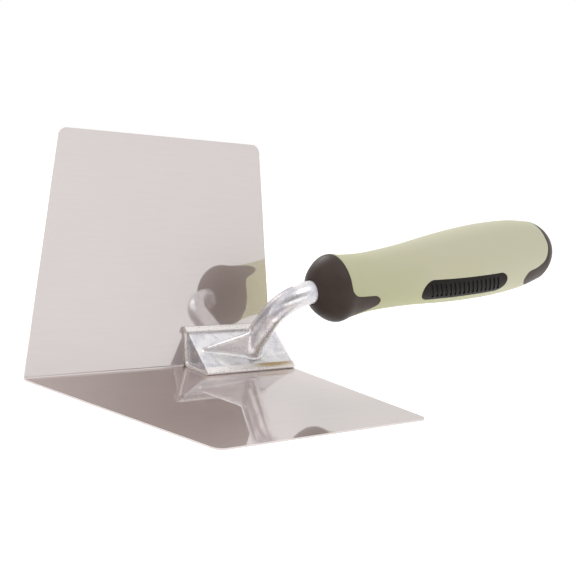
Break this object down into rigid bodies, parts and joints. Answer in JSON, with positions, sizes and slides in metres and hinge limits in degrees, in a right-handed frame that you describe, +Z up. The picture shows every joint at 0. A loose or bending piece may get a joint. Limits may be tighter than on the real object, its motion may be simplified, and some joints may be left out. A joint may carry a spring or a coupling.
{
  "type": "inside corner trowel",
  "caption": "Inside corner trowel: bent sheet blade with two wings, welded bracket, cast swan-neck tang and a moulded two-colour handle.",
  "frame": {"origin": "bottom centre of the whole tool's bounding box, with the tool resting on its lower wing", "axes": "+X along the fold from the blade's front to the handle's butt, +Z up from the lower wing's flat outer face, -Y towards the lower wing's free edge"},
  "size_m": [0.2612, 0.125, 0.0996],
  "materials": {
    "blade_steel": "polished",
    "bracket_steel": "satin",
    "cast_aluminium": "satin",
    "dark_plastic": "matte",
    "inlay_plastic": "satin",
    "soft_grip": "matte"
  },
  "bodies": {
    "root": {"blade": "blade_steel", "mount_bracket": "bracket_steel", "tang_casting": "cast_aluminium", "handle_core": "dark_plastic", "front_collar": "dark_plastic", "end_cap": "dark_plastic", "side_inlay_upper": "inlay_plastic", "side_inlay_lower": "inlay_plastic", "grip_sleeve": "soft_grip"}
  },
  "joints": []
}
